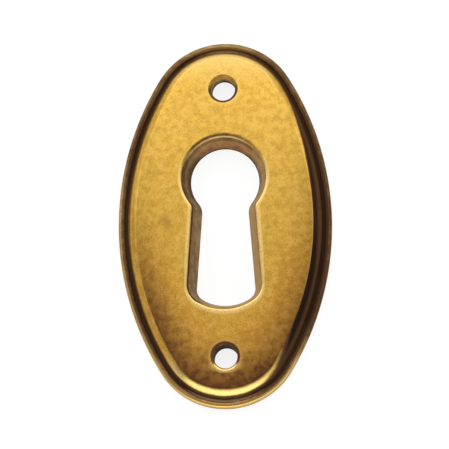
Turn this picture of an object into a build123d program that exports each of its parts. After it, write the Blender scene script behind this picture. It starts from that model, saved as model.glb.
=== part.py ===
"""Oval keyhole escutcheon: a cast brass plate with a moulded rim, a keyhole and two screw holes.

The plate lies on its back. The origin is the centre of the flat back, +Z points out of the front,
+Y runs along the plate towards the round end of the keyhole, and +X runs across it. Millimetres.
"""

import os
from math import atan, degrees, sqrt

from build123d import *

# Plate outline and thickness
plate_width = 26.0
plate_height = 45.6
end_radius = 9.2  # the oval's round ends, which its long sides run into smoothly
plate_thickness = 3.0  # flat back to the dome's crown, which falls inside the keyhole
back_edge_break = 0.15  # chamfer round the edge that lies against the furniture

# Moulded rim, from the outline inwards: round lip, half-round groove, bowed shoulder
lip_height = 1.2
lip_radius = 0.375
groove_radius = 0.21
shoulder_foot_height = 1.1
shoulder_width = 1.03
shoulder_bow = 0.1  # how far the shoulder swells out from its straight chord

# Domed field inside the rim, part of a flat ellipsoid
dome_rise = 0.85  # edge of the field to the crown
dome_overhang = 0.2  # how far the whole ellipsoid would reach past the sides of the plate
field_edge_radius = 0.2  # softened crease between the shoulder and the field

# Keyhole, measured at the front of the plate
keyhole_round_diameter = 10.35
keyhole_round_offset = 5.5  # centre of the round end above the centre of the plate
keyhole_slot_reach = 10.95  # end of the slot below the centre of the plate
keyhole_neck_width = 7.75
keyhole_neck_offset = 1.1  # height above the centre at which the neck's width is taken
keyhole_foot_width = 8.95
keyhole_foot_offset = 6.65  # depth below the centre at which the foot's width is taken
keyhole_foot_bow = 2.0  # sag of the slot's arched end below its corners
keyhole_neck_radius = 1.0
keyhole_corner_radius = 2.5
keyhole_narrowing = 1.0  # how much closer the wall stands at the back, all round
keyhole_edge_radius = 0.4

# Screw holes, one above and one below the keyhole
screw_inset = 6.1  # centre of each hole in from the end of the plate
screw_bore_diameter = 2.9
screw_mouth_radius = 0.4  # rounding of the bore's front edge

# How far the cutting shapes run past what they cut
overrun = 1.0
shoulder_run_on = 0.25  # share of the shoulder's length by which its arc runs on over the field

# Worked out from the sizes above
half_width = plate_width / 2
half_height = plate_height / 2
end_offset = half_height - end_radius
side_radius = (half_width**2 + end_offset**2 - end_radius**2) / (2 * (half_width - end_radius))
rim_width = 2 * lip_radius + 2 * groove_radius + shoulder_width
field_edge_height = plate_thickness - dome_rise
dome_spread = (half_width + dome_overhang) / (half_width - rim_width)
dome_half_width = dome_spread * (half_width - rim_width)
dome_half_height = dome_spread * (half_height - rim_width)
dome_depth = dome_rise / (1 - sqrt(1 - 1 / dome_spread**2))
screw_offset = half_height - screw_inset


def plate_outline():
    """Oval of four arcs, anticlockwise: two long sides and two round ends that meet them smoothly."""
    end_centre = Vector(0, end_offset)
    side_centre = Vector(half_width - side_radius, 0)
    meeting = end_centre + (end_centre - side_centre).normalized() * end_radius
    x, y = meeting.X, meeting.Y
    right_side = ThreePointArc((x, -y), (half_width, 0), (x, y))
    top_end = ThreePointArc((x, y), (0, half_height), (-x, y))
    left_side = ThreePointArc((-x, y), (-half_width, 0), (-x, -y))
    bottom_end = ThreePointArc((-x, -y), (0, -half_height), (x, -y))
    return Wire([right_side, top_end, left_side, bottom_end])


def domed_blank():
    """Oval slab as high as the lip, with the domed field standing on it."""
    outline = make_face(plate_outline())
    flange = extrude(outline, lip_height)
    flange = chamfer(flange.edges().group_by(Axis.Z)[0], back_edge_break)
    # The ball is turned so that its seam lies underneath, clear of the field
    ball = Rot(-90, 0, 0) * Rot(0, 0, 90) * Sphere(1)
    ellipsoid = scale(ball, by=(dome_half_width, dome_half_height, dome_depth))
    above_back = Pos(0, 0, lip_height / 2) * extrude(outline, plate_thickness)
    return flange + (above_back & Pos(0, 0, plate_thickness - dome_depth) * ellipsoid)


def rim_cutter():
    """Ring of metal that the moulded rim leaves out: one section swept round the outline."""

    def station(inward, height):
        """Point of the section at a distance inwards from the outline."""
        return (-inward, height)

    path = plate_outline()
    along = path % 0
    section_plane = Plane(path @ 0, x_dir=along.cross(Vector(0, 0, 1)), z_dir=-along)
    groove_edge = lip_height - lip_radius
    groove_start = 2 * lip_radius
    groove_end = groove_start + 2 * groove_radius
    clear_top = plate_thickness + overrun
    lip = ThreePointArc(
        station(0, groove_edge),
        station(lip_radius, lip_height),
        station(groove_start, groove_edge),
    )
    groove = ThreePointArc(
        station(groove_start, groove_edge),
        station(groove_start + groove_radius, groove_edge - groove_radius),
        station(groove_end, groove_edge),
    )
    shoulder_foot = station(groove_end, shoulder_foot_height)
    shoulder_head = station(rim_width, field_edge_height)
    wall = Line(station(groove_end, groove_edge), shoulder_foot)
    run_on_end = SagittaArc(shoulder_foot, shoulder_head, -shoulder_bow) @ (1 + shoulder_run_on)
    shoulder = ThreePointArc(shoulder_foot, shoulder_head, run_on_end)
    outside = Polyline(
        run_on_end,
        station(rim_width + overrun, clear_top),
        station(-overrun, clear_top),
        station(-overrun, groove_edge),
        station(0, groove_edge),
    )
    section = section_plane * make_face([lip, groove, wall, shoulder, *outside.edges()])
    return sweep(section, path=path)


def keyhole_outline():
    """Keyhole at the front of the plate: a round end on a slot that widens towards its foot."""
    half_neck = keyhole_neck_width / 2
    half_foot = keyhole_foot_width / 2
    flare = (half_foot - half_neck) / (keyhole_neck_offset + keyhole_foot_offset)

    def slot_side(side, y):
        """Point of the slot's straight side at a place on the long centre line."""
        return (side * (half_neck + flare * (keyhole_neck_offset - y)), y)

    slot_bottom = keyhole_foot_bow - keyhole_slot_reach
    sides = Polyline(
        slot_side(-1, slot_bottom),
        slot_side(-1, keyhole_round_offset),
        slot_side(1, keyhole_round_offset),
        slot_side(1, slot_bottom),
    )
    foot = ThreePointArc(
        slot_side(1, slot_bottom),
        (0, -keyhole_slot_reach),
        slot_side(-1, slot_bottom),
    )
    slot = make_face([*sides.edges(), foot])
    outline = slot + Pos(0, keyhole_round_offset) * Circle(keyhole_round_diameter / 2)
    foot_corners = outline.vertices().sort_by(Axis.Y)[:2]
    outline = fillet(foot_corners, keyhole_corner_radius)
    neck_corners = outline.vertices().sort_by(Axis.Y)[-2:]
    return fillet(neck_corners, keyhole_neck_radius)


def keyhole_cutter():
    """The keyhole, drawn in towards the back like a shallow funnel."""
    draft = degrees(atan(keyhole_narrowing / plate_thickness))
    front = Pos(0, 0, plate_thickness) * keyhole_outline()
    return extrude(front, -(plate_thickness + overrun), taper=draft)


def screw_hole_cutter(y):
    """Through bore at a place on the long centre line."""
    bore = Cylinder(screw_bore_diameter / 2, plate_thickness + 2 * overrun)
    return Pos(0, y, plate_thickness / 2) * bore


def front_face(plate):
    """The domed field, which is the highest face of the plate."""
    return plate.faces().sort_by(Axis.Z)[-1]


def hole_mouth(plate, y):
    """Front edges of the hole whose middle is nearest to a place on the long centre line."""
    wires = front_face(plate).inner_wires()
    return wires.sort_by(lambda wire: abs(wire.bounding_box().center().Y - y))[0].edges()


def escutcheon_plate():
    """The whole casting: moulded blank, then keyhole, then screw holes."""
    plate = domed_blank() - rim_cutter()
    plate = fillet(front_face(plate).outer_wire().edges(), field_edge_radius)
    plate = plate - keyhole_cutter()
    plate = fillet(hole_mouth(plate, 0), keyhole_edge_radius)
    for y in (screw_offset, -screw_offset):
        plate = plate - screw_hole_cutter(y)
        plate = fillet(hole_mouth(plate, y), screw_mouth_radius)
    return plate


os.makedirs("parts", exist_ok=True)
export_step(escutcheon_plate(), "parts/escutcheon_plate.step")
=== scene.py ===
"""Looks of the oval keyhole escutcheon: one casting of antiqued brass on a white studio floor.

Lengths of the plate are millimetres, as on a drawing, and become metres when a vertex is placed.
The plate lies on its back, with +Y towards the round end of the keyhole and +Z out of its front.
"""

import logging
from abc import ABC, abstractmethod
from collections.abc import Iterator, Mapping, Sequence
from dataclasses import dataclass, field, replace
from enum import Enum, unique
from functools import cached_property
from math import atan2, cos, hypot, pi, radians, sin, sqrt, tan, tau

import bmesh
import bpy
from mathutils import Matrix, Vector

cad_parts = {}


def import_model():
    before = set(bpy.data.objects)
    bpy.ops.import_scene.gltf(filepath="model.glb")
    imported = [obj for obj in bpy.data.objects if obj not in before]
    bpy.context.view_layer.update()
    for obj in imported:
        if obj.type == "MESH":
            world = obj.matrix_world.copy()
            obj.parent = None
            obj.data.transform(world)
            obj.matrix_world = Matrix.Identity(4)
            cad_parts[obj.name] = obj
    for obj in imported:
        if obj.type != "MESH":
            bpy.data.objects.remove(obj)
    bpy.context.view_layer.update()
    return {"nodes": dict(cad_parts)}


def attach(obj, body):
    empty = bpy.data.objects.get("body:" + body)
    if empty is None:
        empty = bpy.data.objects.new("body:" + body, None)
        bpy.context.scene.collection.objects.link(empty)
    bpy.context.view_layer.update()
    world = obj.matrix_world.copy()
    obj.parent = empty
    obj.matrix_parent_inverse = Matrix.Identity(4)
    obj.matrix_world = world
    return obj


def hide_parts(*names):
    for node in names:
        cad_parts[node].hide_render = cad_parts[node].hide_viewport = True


LOG = logging.getLogger("escutcheon")
MILLIMETRE = 0.001
PIECE_NAME = "brass_plate"
NODE_NAME = "escutcheon_plate"
SLOT_NAME = "antique_brass"
BODY_NAME = "root"

Colour = tuple[float, float, float]  # linear red, green and blue
Span = tuple[float, float]  # where a change starts and where it is complete
Strengths = tuple[float, float]  # how strong a change is at the start of a span and at its end
Legs = tuple[Vector, Vector, Vector]  # a sharp corner, between a point on each side of it
Ring = list[bmesh.types.BMVert]  # vertices round the plate or a hole, in order
Feed = bpy.types.NodeSocket | float | Colour  # what a node's socket can be set from


@dataclass(frozen=True)
class Skin:
    """State of the metal at one place of the casting.

    Attributes:
        polish: From 0, dull as cast, to 1, polished.
        patina: From 0, clean, through 1, covered in brown patina, to 1.6, black with it.
            On the right of the rim and in the keyhole it is partly painted shade.
        wear: From 0, as finished, to 1, bright: worn places and painted highlights.
        toning: From 0, as finished, to 1, brown: browned metal and painted shade.
        warmth: From 0, yellow, to 1, amber.
        dust: From 0, none, to 1, covered in pale dust.
    """

    polish: float
    patina: float
    wear: float = 0.0
    toning: float = 0.0
    warmth: float = 0.0
    dust: float = 0.0


@unique
class Surface(Enum):
    """Places of the casting that differ in finish."""

    BACK = Skin(polish=0.0, patina=0.35)
    SIDE = Skin(polish=0.1, patina=0.3)
    LIP = Skin(polish=0.3, patina=0.0)
    LIP_CREST = Skin(polish=0.2, patina=0.0)
    GROOVE = Skin(polish=0.0, patina=1.0)
    SHOULDER_FOOT = Skin(polish=0.0, patina=1.25)
    SHOULDER = Skin(polish=0.95, patina=0.0)
    # The bright values of the field edge, the keyhole's rim and edge and the screw rim are painted
    # highlights.
    FIELD_EDGE = Skin(polish=1.0, patina=0.0, wear=0.3)
    FIELD = Skin(polish=1.0, patina=0.0)
    HOLE_RIM = Skin(polish=1.0, patina=0.0, wear=0.8)
    HOLE_EDGE = Skin(polish=1.0, patina=0.0, wear=1.0)
    HOLE_TURN = Skin(polish=0.3, patina=0.9)
    THROAT = Skin(polish=0.2, patina=1.05)
    WALL = Skin(polish=0.0, patina=0.08)
    # The back edge's darkening is painted shade where the keyhole's wall meets the back.
    BACK_EDGE = Skin(polish=0.0, patina=0.8)
    SCREW_RIM = Skin(polish=1.0, patina=0.0, wear=0.35)
    SCREW_MOUTH = Skin(polish=1.0, patina=0.9)
    BORE = Skin(polish=0.0, patina=1.15)


class SkinLayer(Enum):
    """Vertex attributes that carry the state of the metal, and the painted light and shade, to the
    finish.
    """

    POLISH = "polish"
    PATINA_AND_SHADE = "patina"
    WEAR_AND_HIGHLIGHT = "wear"
    TONING_AND_SHADE = "toning"
    WARMTH = "warmth"
    DUST = "dust"


def ease(value: float, start: float, end: float) -> float:
    """Rise smoothly from 0 at a start value to 1 at an end value, which may be the lower one."""
    share = min(max((value - start) / (end - start), 0.0), 1.0)
    return share * share * (3 - 2 * share)


@dataclass(frozen=True)
class Compass:
    """Values at even headings round the plate, anticlockwise from the right, eased in between."""

    values: tuple[float, ...]

    def at(self, right: float, up: float) -> float:
        """Give the value towards a place.

        Args:
            right: The place to the right of the centre, in half widths.
            up: The place above the centre, in half heights.

        Returns:
            The value there.
        """
        turn = atan2(up, right) % tau / tau * len(self.values)
        index = int(turn)
        before, after = (self.values[step % len(self.values)] for step in (index, index + 1))
        return before + (after - before) * ease(turn - index, 0.0, 1.0)


@dataclass(frozen=True)
class Smudge:
    """A soft mark on the metal: where it is, how far it reaches and how strong it is."""

    x: float
    y: float
    reach: float
    strength: float

    def strength_at(self, place: Vector) -> float:
        """Give how strong the mark is at a place."""
        return self.strength * ease(hypot(place.x - self.x, place.y - self.y), self.reach, 0.0)


@dataclass(frozen=True)
class ShoulderAgeAndLight:
    """How the shoulder has aged, with painted shade on its right and left sides and painted highlights
    at its ends.

    A place is given by how far right and up of the plate's centre it is, in half widths and half
    heights, and by its level, from 0 at the shoulder's foot to 1 at its head.
    """

    foot_height: float = 1.1
    rise: float = 1.05
    # Where the painted shade on the right side lies.
    painted_shade_side: Span = (0.3, 0.95)
    painted_shade_front: Span = (-0.12, 0.15)
    painted_shade_corner: Span = (-0.95, -0.38)
    deeper_shade_half: Span = (0.0, -0.3)
    deeper_shade_levels: Span = (0.35, 0.75)
    foot_levels: Span = (0.42, 0.12)
    foot_half: Span = (0.2, -0.3)
    # Where the painted highlights at the lower and top ends lie.
    highlight_low_end: Span = (-0.6, -0.78)
    low_left: Span = (-0.2, -0.5)
    head_levels: Span = (0.7, 0.98)
    highlight_top_end: Span = (0.7, 0.95)
    upper_half: Span = (0.0, 0.3)
    upper_highlight_levels: Span = (0.5, 0.2)
    # Where the painted brown shade on the left and along the lower end's head lies.
    left_side: Span = (-0.3, -0.9)
    left_half: Span = (0.3, -0.1)
    lower_head: Span = (-0.35, -0.7)
    clear_of_right: Span = (0.75, 0.35)
    head_left: Span = (-0.3, -0.6)

    def dark(self, right: float, up: float, level: float) -> float:
        """Give the painted shade on the right side.

        Args:
            right: The place to the right of the centre.
            up: The place above the centre.
            level: Its level on the shoulder.

        Returns:
            From 0, none, to 1, full painted shade. In the upper half the shade climbs from the foot.
        """
        # Painted shade on the right side of the shoulder.
        if up > 0:
            climb = 1.2 * ease(right - 0.1 * up, *self.painted_shade_side)
            return ease(climb - level, *self.painted_shade_front)
        return ease(right + up - 0.6 * level, *self.painted_shade_corner)

    def low(self, right: float, up: float) -> float:
        """Give how far a place lies into the lower end, which has a painted highlight."""
        return ease(up - 0.1 * right, *self.highlight_low_end)

    def patina(self, right: float, up: float, level: float) -> float:
        """Give the depth of the patina along the foot of the lower half, and of the painted shade on
        the right side.

        Args:
            right: The place to the right of the centre.
            up: The place above the centre.
            level: Its level on the shoulder.

        Returns:
            From 0, clean, through 1, covered in brown patina or painted shade, to black.
        """
        # The right side's part is painted shade; the foot's part is patina.
        depth = 1.0 + 0.2 * ease(up, *self.deeper_shade_half) + 0.45 * ease(level, *self.deeper_shade_levels)
        foot = ease(level, *self.foot_levels) * ease(up, *self.foot_half)
        return max(self.dark(right, up, level) * depth, 1.2 * foot)

    def wear(self, right: float, up: float, level: float) -> float:
        """Give the painted highlight on the shoulder, at its ends and along the foot of the upper
        half.

        Args:
            right: The place to the right of the centre.
            up: The place above the centre.
            level: Its level on the shoulder.

        Returns:
            From 0, as finished, to 1, bright.
        """
        # Painted highlights, kept off the painted shade on the right side.
        below_head = 1 - ease(level, *self.head_levels)
        highlight_low_end = (0.8 + 0.2 * ease(right, *self.low_left)) * self.low(right, up) * below_head
        highlight_top_end = 0.85 * ease(up, *self.highlight_top_end)
        upper_foot = 0.3 * ease(up, *self.upper_half) * ease(level, *self.upper_highlight_levels)
        return max(highlight_low_end, highlight_top_end, upper_foot) * (1 - self.dark(right, up, level))

    def toning(self, right: float, up: float, level: float) -> float:
        """Give the painted brown shade on the shoulder, on the left side and along the head of the
        lower end.

        Args:
            right: The place to the right of the centre.
            up: The place above the centre.
            level: Its level on the shoulder.

        Returns:
            From 0, as finished, to 1, brown.
        """
        # Painted shade.
        left_side = 0.17 * ease(right, *self.left_side) * ease(up, *self.left_half)
        head = 0.8 * ease(up, *self.lower_head) * ease(level, *self.head_levels)
        head *= ease(right, *self.clear_of_right)
        return max(left_side, head * (1 - 0.6 * ease(right, *self.head_left)))


@dataclass(frozen=True)
class WeatheringAndLight:
    """How the finish has aged from place to place, with light and shade painted on it.

    The rim is darker on the right with painted shade, the lower end of the field is darkened brown
    with painted shade, and the top of the field and the lower shoulder carry painted highlights.
    Lengths are millimetres.
    """

    half_width: float = 13.0
    half_height: float = 22.8
    field_half_width: float = 10.8
    field_half_height: float = 20.6
    shoulder: ShoulderAgeAndLight = ShoulderAgeAndLight()
    # Depth of the rim's patina by heading, anticlockwise from the right: painted shade deepens it on
    # the right, and it is thinned where light falls at the top and bottom.
    lip_patina_and_shade: Compass = Compass((0.8, 0.75, 0.65, 0.4, 0.6, 0.6, 0.2, 0.1, 0.0, 0.0, 0.05, 1.0))
    crest_patina_and_shade: Compass = Compass(
        (1.25, 1.0, 0.7, 0.0, 0.6, 0.85, 0.65, 0.85, 0.45, 0.0, 0.8, 1.3)
    )
    groove_patina_and_shade: Compass = Compass(
        (1.3, 1.25, 1.1, 0.2, 1.05, 1.15, 1.05, 1.15, 1.1, 0.0, 1.1, 1.3)
    )
    foot_patina_and_shade: Compass = Compass(
        (1.3, 1.25, 1.05, 0.0, 1.0, 1.15, 1.1, 1.2, 1.05, 0.6, 1.05, 1.3)
    )
    smudges: Sequence[Smudge] = (
        Smudge(-7.0, 0.2, 0.9, 0.45),
        Smudge(-9.1, 6.5, 0.8, 0.3),
    )
    scuff: Smudge = Smudge(1.25, -22.0, 0.5, 0.8)

    # Rim and field edge, in half widths and half heights from the centre
    lip_low_end: Span = (-0.5, -0.9)
    rim_low_end: Span = (-0.3, -0.8)
    edge_right: Span = (0.5, 0.8)
    edge_low: Span = (-0.2, -0.6)

    # Along the plate, as heights above its centre
    crest_bottom: Span = (-20.8, -22.3)
    groove_bottom: Span = (-20.0, -21.9)
    field_top: Span = (16.5, 21.5)
    field_lower_half: Span = (2.0, -13.0)
    field_bottom: Span = (-9.0, -22.5)
    field_low_corner: Span = (-11.5, -16.0)
    warm_part: Span = (7.0, -13.0)
    above_keyhole: Span = (6.0, 9.5)
    keyhole_round: Span = (1.0, 3.0)
    keyhole_edge_top: Span = (5.5, 10.0)
    keyhole_wall_top: Span = (7.0, 9.5)
    keyhole_slot: Span = (2.5, 1.0)
    keyhole_foot: Span = (-9.5, -10.5)
    below_lower_screw: Span = (-17.0, -18.3)
    lower_mouth: Span = (-17.3, -18.1)
    upper_mouth: Span = (16.4, 17.6)

    # Across the plate, as distances to the right of its centre
    field_left: Span = (0.0, -8.0)
    field_off_centre: Span = (2.0, 5.0)
    keyhole_right: Span = (0.5, 3.0)
    slot_left: Span = (-1.0, -3.0)
    throat_left: Span = (-0.5, -3.5)
    wall_left: Span = (-1.0, -4.0)

    # Out from the centre of the field, where its edge is at 1
    field_outer_part: Span = (0.6, 1.0)
    field_border: Span = (0.62, 1.0)
    field_verge: Span = (0.85, 1.0)
    warm_border: Span = (0.4, 0.85)

    # Towards the back, as heights above it
    wall_back: Span = (1.8, 0.2)
    bore_back: Span = (2.0, 0.3)

    def skin(self, surface: Surface, place: Vector) -> Skin:
        """Give the state of the metal at a place.

        Args:
            surface: What the place lies on.
            place: The place.

        Returns:
            The surface's own state, aged for that place.
        """
        ageing = {
            Surface.LIP: self.age_and_light_lip,
            Surface.LIP_CREST: self.age_and_light_lip_crest,
            Surface.GROOVE: self.age_and_light_groove,
            Surface.SHOULDER_FOOT: self.age_and_light_shoulder_foot,
            Surface.SHOULDER: self.age_and_light_shoulder,
            Surface.FIELD_EDGE: self.age_and_light_field_edge,
            Surface.FIELD: self.age_and_light_field,
            Surface.HOLE_RIM: self.age_and_light_hole_rim,
            Surface.HOLE_EDGE: self.age_and_light_hole_edge,
            Surface.HOLE_TURN: self.shade_and_light_hole_turn,
            Surface.THROAT: self.shade_throat,
            Surface.WALL: self.shade_wall,
            Surface.BACK_EDGE: self.shade_back_edge,
            Surface.SCREW_RIM: self.age_and_light_screw_rim,
            Surface.SCREW_MOUTH: self.highlight_screw_mouth,
            Surface.BORE: self.shade_upper_bore,
        }
        aged = ageing.get(surface)
        return aged(surface.value, place) if aged else surface.value

    def bearing(self, place: Vector) -> tuple[float, float]:
        """Give how far right and up of the centre a place is, in half widths and half heights."""
        return place.x / self.half_width, place.y / self.half_height

    def field_reach(self, place: Vector) -> float:
        """Give how far out from the centre of the field a place is, where its edge is at 1."""
        return hypot(place.x / self.field_half_width, place.y / self.field_half_height)

    def warmth(self, place: Vector) -> float:
        """Give how far the metal has turned to amber, which grows towards the lower sides."""
        return ease(place.y, *self.warm_part) * ease(self.field_reach(place), *self.warm_border)

    def darkened(self, skin: Skin, place: Vector, patina_and_shade_depths: Compass) -> Skin:
        """Cover a place of the rim in patina and painted shade by heading, redder round the lower end,
        with dust in the scuff.

        Args:
            skin: State of the metal before.
            place: The place.
            patina_and_shade_depths: Depth of the patina and painted shade by heading.

        Returns:
            State of the metal after.
        """
        right, up = self.bearing(place)
        return replace(
            skin,
            patina=patina_and_shade_depths.at(right, up),
            toning=0.55 * ease(up, *self.rim_low_end),
            dust=self.scuff.strength_at(place),
        )

    def age_and_light_lip(self, skin: Skin, place: Vector) -> Skin:
        """Darken the lip's outer side by heading with patina and painted shade, and paint a highlight
        round the lower end.

        Args:
            skin: State of the metal before.
            place: The place.

        Returns:
            State of the metal after.
        """
        right, up = self.bearing(place)
        # Painted highlight round the lower end.
        painted_highlight = ease(up, *self.lip_low_end)
        return replace(
            skin,
            polish=skin.polish + 0.4 * painted_highlight,
            patina=self.lip_patina_and_shade.at(right, up),
            wear=0.6 * painted_highlight,
        )

    def age_and_light_lip_crest(self, skin: Skin, place: Vector) -> Skin:
        """Darken the top of the lip by heading with patina and painted shade, and polish it at the
        lower end as a painted highlight.
        """
        painted_highlight = 0.4 * ease(place.y, *self.crest_bottom)
        return self.darkened(replace(skin, polish=skin.polish + painted_highlight), place, self.crest_patina_and_shade)

    def age_and_light_groove(self, skin: Skin, place: Vector) -> Skin:
        """Vary the depth of the groove's patina by heading, with painted shade on the right and less
        at the top, and dust round the lower end.
        """
        aged = self.darkened(skin, place, self.groove_patina_and_shade)
        return replace(aged, dust=max(aged.dust, 0.8 * ease(place.y, *self.groove_bottom)))

    def age_and_light_shoulder_foot(self, skin: Skin, place: Vector) -> Skin:
        """Vary the depth of the patina at the foot of the shoulder by heading, deepened on the right
        by painted shade.
        """
        return self.darkened(skin, place, self.foot_patina_and_shade)

    def age_and_light_shoulder(self, skin: Skin, place: Vector) -> Skin:
        """Paint shade on the shoulder's right side and a highlight on its lower end.

        Args:
            skin: State of the metal before.
            place: The place.

        Returns:
            State of the metal after.
        """
        right, up = self.bearing(place)
        level = (place.z - self.shoulder.foot_height) / self.shoulder.rise
        return replace(
            skin,
            patina=self.shoulder.patina(right, up, level),
            wear=self.shoulder.wear(right, up, level),
            toning=self.shoulder.toning(right, up, level),
            warmth=0.4 * self.warmth(place) * (1 - self.shoulder.low(right, up)),
        )

    def age_and_light_field_edge(self, skin: Skin, place: Vector) -> Skin:
        """Age the softened edge like the field, with a painted highlight on the right.

        Args:
            skin: State of the metal before.
            place: The place.

        Returns:
            State of the metal after.
        """
        right, up = self.bearing(place)
        # Painted highlight along the right of the field's edge.
        painted_highlight = ease(right - 0.3 * up, *self.edge_right) * (1 - ease(up, *self.edge_low))
        return self.age_and_light_field(replace(skin, wear=skin.wear * painted_highlight), place)

    def age_and_light_field(self, skin: Skin, place: Vector) -> Skin:
        """Paint brown shade on the field towards its lower edge, paint a highlight on its top and lay
        the smudges.

        Args:
            skin: State of the metal before.
            place: The place.

        Returns:
            State of the metal after.
        """
        reach = self.field_reach(place)
        # Painted shade: browner towards the lower edge, more on the left, and in the lower corners;
        # the smudges are real marks.
        low = ease(place.y, *self.field_bottom) * ease(reach, *self.field_outer_part)
        edge = (0.54 + 0.24 * ease(place.x, *self.field_left)) * ease(place.y, *self.field_lower_half)
        edge *= ease(reach, *self.field_border)
        marks = max(smudge.strength_at(place) for smudge in self.smudges)
        shade = 0.15 * ease(reach, *self.field_verge) * ease(abs(place.x), *self.field_off_centre)
        shade *= ease(place.y - 0.25 * place.x, *self.field_low_corner)
        # Painted highlight along the top of the field.
        top = 0.6 * ease(place.y, *self.field_top)
        return replace(
            skin,
            toning=max(low, edge, marks) + shade,
            wear=max(skin.wear, top),
            warmth=self.warmth(place),
        )

    def age_and_light_hole_rim(self, skin: Skin, place: Vector) -> Skin:
        """Age the field beside the keyhole with a painted highlight, weaker above it."""
        painted_highlight = skin.wear * (1 - ease(place.y, *self.above_keyhole))
        return self.age_and_light_field(replace(skin, wear=painted_highlight), place)

    def age_and_light_hole_edge(self, skin: Skin, place: Vector) -> Skin:
        """Age the keyhole's rounded edge: a painted highlight on it, except above the keyhole, where
        painted shade lies instead, less so on the right.

        Args:
            skin: State of the metal before.
            place: The place.

        Returns:
            State of the metal after.
        """
        top = ease(place.y, *self.keyhole_edge_top)
        # Painted shade along the top of the edge.
        dark = 0.8 * top * (1 - 0.45 * ease(place.x, *self.keyhole_right))
        return self.age_and_light_field(replace(skin, patina=dark, wear=skin.wear * (1 - top)), place)

    def shade_and_light_hole_turn(self, skin: Skin, place: Vector) -> Skin:
        """Clear the turn into the keyhole of patina at its top and on its right, and half at its foot,
        so it is lighter where light falls, and paint a highlight at its top.

        Args:
            skin: State of the metal before.
            place: The place.

        Returns:
            State of the metal after, with painted shade darkest on the left of the slot.
        """
        top = ease(place.y, *self.keyhole_edge_top)
        foot = ease(place.y, *self.keyhole_foot)
        # Painted light where the turn faces the lamps, painted shade on the left of the slot.
        bare = max(top, 0.8 * ease(place.x, *self.keyhole_right), 0.5 * foot)
        slot = 0.3 * ease(place.x, *self.slot_left) * ease(place.y, *self.keyhole_slot) * (1 - foot)
        return replace(
            skin,
            patina=skin.patina * (1 - bare) + slot,
            wear=0.8 * top,
            toning=0.15 * top,
        )

    def shade_throat(self, skin: Skin, place: Vector) -> Skin:
        """Paint shade on the upper part of the keyhole's wall on the left, below the round end's top.

        Args:
            skin: State of the metal before.
            place: The place.

        Returns:
            State of the metal after.
        """
        top = ease(place.y, *self.keyhole_wall_top)
        # Painted shade on the left of the throat.
        left = ease(place.x, *self.throat_left) * (1 - top)
        left *= 0.3 + 0.25 * ease(place.y, *self.keyhole_round)
        return replace(skin, patina=skin.patina * (0.22 + left + 0.25 * top), toning=0.6 * top)

    def shade_wall(self, skin: Skin, place: Vector) -> Skin:
        """Paint shade on the left side of the keyhole's wall, and on the round end towards the back.

        Args:
            skin: State of the metal before.
            place: The place.

        Returns:
            State of the metal after.
        """
        top = ease(place.y, *self.keyhole_wall_top)
        # Painted shade on the left and towards the back of the round end.
        left = 0.36 * ease(place.x, *self.wall_left) * (1 - top)
        deep = ease(place.y, *self.keyhole_round) * (0.1 + 0.3 * ease(place.z, *self.wall_back))
        return replace(skin, patina=skin.patina + left + deep, toning=0.8 * top)

    def shade_back_edge(self, skin: Skin, place: Vector) -> Skin:
        """Paint shade on the back edge of the keyhole, most in the round end."""
        return replace(skin, patina=skin.patina * (0.6 + 0.8 * ease(place.y, *self.keyhole_round)))

    def age_and_light_screw_rim(self, skin: Skin, place: Vector) -> Skin:
        """Age the field beside a screw hole with a painted highlight, strongest below the lower one.
        """
        painted_highlight = skin.wear + 0.35 * ease(place.y, *self.below_lower_screw)
        return self.age_and_light_field(replace(skin, wear=painted_highlight), place)

    def highlight_screw_mouth(self, skin: Skin, place: Vector) -> Skin:
        """Paint a highlight on the lower hole's mouth on its lower side, and lighten the upper one's
        upper side by clearing its patina.

        Args:
            skin: State of the metal before.
            place: The place.

        Returns:
            State of the metal after.
        """
        # Painted highlight on the lower hole's lower side; the upper hole's upper side is lightened.
        painted_highlight = ease(place.y, *self.lower_mouth)
        lightened = 0.6 * ease(place.y, *self.upper_mouth)
        return replace(skin, patina=skin.patina * (1 - painted_highlight) * (1 - lightened), wear=painted_highlight)

    def shade_upper_bore(self, skin: Skin, place: Vector) -> Skin:
        """Leave the upper screw hole as brown as the keyhole's wall, with painted shade darker towards
        the back.
        """
        brown = Skin(polish=0.2, patina=0.1 + 0.8 * ease(place.z, *self.bore_back), toning=0.3)
        return brown if place.y > 0 else skin


def round_off(before: Vector, corner: Vector, after: Vector, radius: float, share: float) -> Vector:
    """Find a point on the arc that rounds a corner off.

    Args:
        before: A point on the leg that leads to the corner.
        corner: The sharp corner.
        after: A point on the leg that leads away from it.
        radius: Radius of the arc.
        share: Share of the way along the arc, from 0 on the first leg to 1 on the second.

    Returns:
        The point on the arc.
    """
    leg_in = (before - corner).normalized()
    leg_out = (after - corner).normalized()
    half_angle = leg_in.angle(leg_out) / 2
    reach = radius / tan(half_angle)
    weights = ((1 - share) ** 2, 2 * share * (1 - share) * sin(half_angle), share**2)
    points = (corner + leg_in * reach, corner, corner + leg_out * reach)
    total = sum((point * weight for point, weight in zip(points, weights)), Vector())
    return total / sum(weights)


@dataclass(frozen=True)
class RailPoint:
    """A point of an outline and the direction to the left of it, when it runs anticlockwise."""

    place: Vector
    inward: Vector

    def inset(self, distance: float, height: float) -> Vector:
        """Give the place a distance inwards from the outline, at a height."""
        flat = self.place + self.inward * distance
        return Vector((flat.x, flat.y, height))

    def mirrored(self) -> "RailPoint":
        """Give the same point on the other side of the long centre line."""
        across = Matrix.Scale(-1, 3, (1, 0, 0))
        return RailPoint(across @ self.place, across @ self.inward)


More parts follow.
